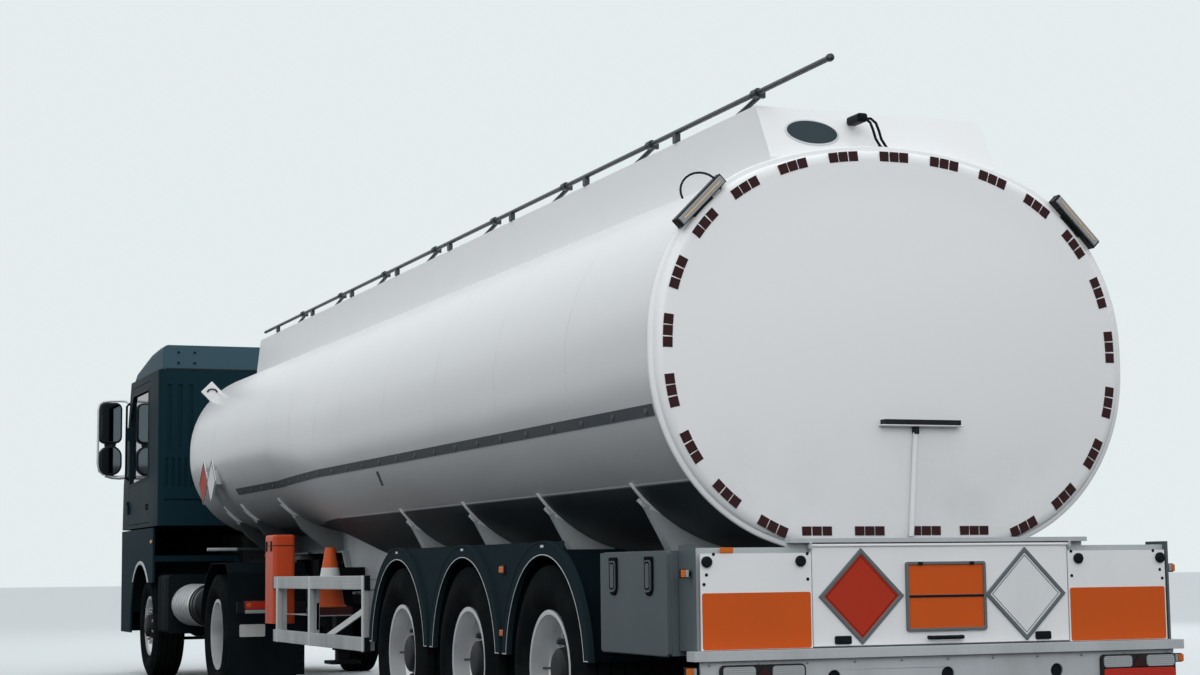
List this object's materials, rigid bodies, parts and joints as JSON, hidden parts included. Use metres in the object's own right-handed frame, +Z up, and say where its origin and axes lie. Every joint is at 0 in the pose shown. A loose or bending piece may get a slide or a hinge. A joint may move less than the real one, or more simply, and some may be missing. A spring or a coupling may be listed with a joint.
{
  "type": "articulated tanker truck",
  "caption": "Articulated road tanker: a cab-over tractor unit hinged by kingpin and fifth wheel to an oval tank semi-trailer with a walkway coaming, lockers, side guards and blank sign plates.",
  "frame": {"origin": "on the ground, in the middle of the lorry's length and width", "axes": "+X forward, towards the cab; +Y to the lorry's left; +Z up"},
  "size_m": [15.43, 3.12, 3.275],
  "materials": {
    "barrel_paint": "glossy",
    "frame_paint": "satin",
    "cab_paint": "glossy",
    "dark_plastic": "matt",
    "bare_aluminium": "brushed",
    "galvanised": "dull",
    "cast_iron": "rough",
    "tyre": "matt",
    "glass": "clear",
    "lamp": "glossy",
    "red_paint": "glossy",
    "orange_plastic": "satin",
    "seat_fabric": "woven",
    "sign_face": "satin"
  },
  "bodies": {
    "tractor": {"tractor_frame": "frame_paint", "fifth_wheel": "cast_iron", "front_axle": "cast_iron", "drive_axle": "cast_iron", "engine": "cast_iron", "cab_shell": "cab_paint", "windscreen": "glass", "front_bumper": "cab_paint", "grille": "dark_plastic", "mirrors": "dark_plastic", "cab_interior": "seat_fabric", "tractor_mudguards": "dark_plastic", "side_tanks": "bare_aluminium", "tractor_lamps": "lamp"},
    "trailer": {"tank": "barrel_paint", "coaming": "barrel_paint", "manlids": "bare_aluminium", "handrail": "bare_aluminium", "trailer_frame": "frame_paint", "trailer_axles": "cast_iron", "trailer_mudguards": "dark_plastic", "side_guards": "bare_aluminium", "landing_legs": "frame_paint", "side_lockers": "bare_aluminium", "rear_bumper": "galvanised", "sign_boards": "sign_face", "trailer_lamps": "lamp", "extinguisher_box": "red_paint", "traffic_cone": "orange_plastic"},
    "rear_flap": {"rear_flap": "bare_aluminium", "flap_signs": "sign_face"},
    "locker_door_left": {"locker_door_left": "bare_aluminium"},
    "locker_door_right": {"locker_door_right": "bare_aluminium"},
    "door_left": {"door_left": "cab_paint", "door_glass_left": "glass"},
    "door_right": {"door_right": "cab_paint", "door_glass_right": "glass"},
    "knuckle_left": {"knuckle_left": "cast_iron"},
    "knuckle_right": {"knuckle_right": "cast_iron"},
    "track_rod": {"track_rod": "cast_iron"},
    "front_wheel_left": {"front_tyre_left": "tyre", "front_rim_left": "galvanised"},
    "drive_wheels_left": {"drive_tyres_left": "tyre", "drive_rims_left": "galvanised"},
    "trailer_wheel_1_left": {"trailer_tyre_1_left": "tyre", "trailer_rim_1_left": "galvanised"},
    "trailer_wheel_2_left": {"trailer_tyre_2_left": "tyre", "trailer_rim_2_left": "galvanised"},
    "trailer_wheel_3_left": {"trailer_tyre_3_left": "tyre", "trailer_rim_3_left": "galvanised"},
    "front_wheel_right": {"front_tyre_right": "tyre", "front_rim_right": "galvanised"},
    "drive_wheels_right": {"drive_tyres_right": "tyre", "drive_rims_right": "galvanised"},
    "trailer_wheel_1_right": {"trailer_tyre_1_right": "tyre", "trailer_rim_1_right": "galvanised"},
    "trailer_wheel_2_right": {"trailer_tyre_2_right": "tyre", "trailer_rim_2_right": "galvanised"},
    "trailer_wheel_3_right": {"trailer_tyre_3_right": "tyre", "trailer_rim_3_right": "galvanised"}
  },
  "joints": [
    {"name": "fifth_wheel_yaw", "type": "hinge", "parent": "tractor", "child": "trailer", "pos_m": [3.125, 0, 1.1803], "axis": [0, 0, 1], "range_deg": [-90, 90]},
    {"name": "steer_left", "type": "hinge", "parent": "tractor", "child": "knuckle_left", "pos_m": [6.325, 0.86, 0.508], "axis": [0, 0, 1], "range_deg": [-40, 40]},
    {"name": "steer_right", "type": "hinge", "parent": "tractor", "child": "knuckle_right", "pos_m": [6.325, -0.86, 0.508], "axis": [0, 0, 1], "range_deg": [-40, 40]},
    {"name": "track_rod_swing", "type": "hinge", "parent": "knuckle_left", "child": "track_rod", "pos_m": [6.095, 0.86, 0.385], "axis": [0, 0, 1], "range_deg": [-40, 40]},
    {"name": "door_left_swing", "type": "hinge", "parent": "tractor", "child": "door_left", "pos_m": [7.128, 1.258, 2.1], "axis": [0, 0, -1], "range_deg": [0, 70]},
    {"name": "door_right_swing", "type": "hinge", "parent": "tractor", "child": "door_right", "pos_m": [7.128, -1.258, 2.1], "axis": [0, 0, 1], "range_deg": [0, 70]},
    {"name": "rear_flap_lift", "type": "hinge", "parent": "trailer", "child": "rear_flap", "pos_m": [-7.517, 0, 1.106], "axis": [0, 1, 0], "range_deg": [0, 90]},
    {"name": "locker_left_drop", "type": "hinge", "parent": "trailer", "child": "locker_door_left", "pos_m": [-6.94, 1.243, 0.643], "axis": [-1, 0, 0], "range_deg": [0, 95]},
    {"name": "locker_right_drop", "type": "hinge", "parent": "trailer", "child": "locker_door_right", "pos_m": [-6.94, -1.243, 0.643], "axis": [1, 0, 0], "range_deg": [0, 95]},
    {"name": "front_spin_left", "type": "hinge", "parent": "knuckle_left", "child": "front_wheel_left", "pos_m": [6.325, 1.02, 0.508], "axis": [0, 1, 0], "continuous": true},
    {"name": "drive_spin_left", "type": "hinge", "parent": "tractor", "child": "drive_wheels_left", "pos_m": [2.525, 0.916, 0.508], "axis": [0, 1, 0], "continuous": true},
    {"name": "trailer_spin_1_left", "type": "hinge", "parent": "trailer", "child": "trailer_wheel_1_left", "pos_m": [-3.13, 1.055, 0.52], "axis": [0, 1, 0], "continuous": true},
    {"name": "trailer_spin_2_left", "type": "hinge", "parent": "trailer", "child": "trailer_wheel_2_left", "pos_m": [-4.44, 1.055, 0.52], "axis": [0, 1, 0], "continuous": true},
    {"name": "trailer_spin_3_left", "type": "hinge", "parent": "trailer", "child": "trailer_wheel_3_left", "pos_m": [-5.75, 1.055, 0.52], "axis": [0, 1, 0], "continuous": true},
    {"name": "front_spin_right", "type": "hinge", "parent": "knuckle_right", "child": "front_wheel_right", "pos_m": [6.325, -1.02, 0.508], "axis": [0, 1, 0], "continuous": true},
    {"name": "drive_spin_right", "type": "hinge", "parent": "tractor", "child": "drive_wheels_right", "pos_m": [2.525, -0.916, 0.508], "axis": [0, 1, 0], "continuous": true},
    {"name": "trailer_spin_1_right", "type": "hinge", "parent": "trailer", "child": "trailer_wheel_1_right", "pos_m": [-3.13, -1.055, 0.52], "axis": [0, 1, 0], "continuous": true},
    {"name": "trailer_spin_2_right", "type": "hinge", "parent": "trailer", "child": "trailer_wheel_2_right", "pos_m": [-4.44, -1.055, 0.52], "axis": [0, 1, 0], "continuous": true},
    {"name": "trailer_spin_3_right", "type": "hinge", "parent": "trailer", "child": "trailer_wheel_3_right", "pos_m": [-5.75, -1.055, 0.52], "axis": [0, 1, 0], "continuous": true}
  ],
  "couplings": [
    {"joint": "steer_right", "follows": "steer_left", "ratio": 1},
    {"joint": "track_rod_swing", "follows": "steer_left", "ratio": -1}
  ]
}
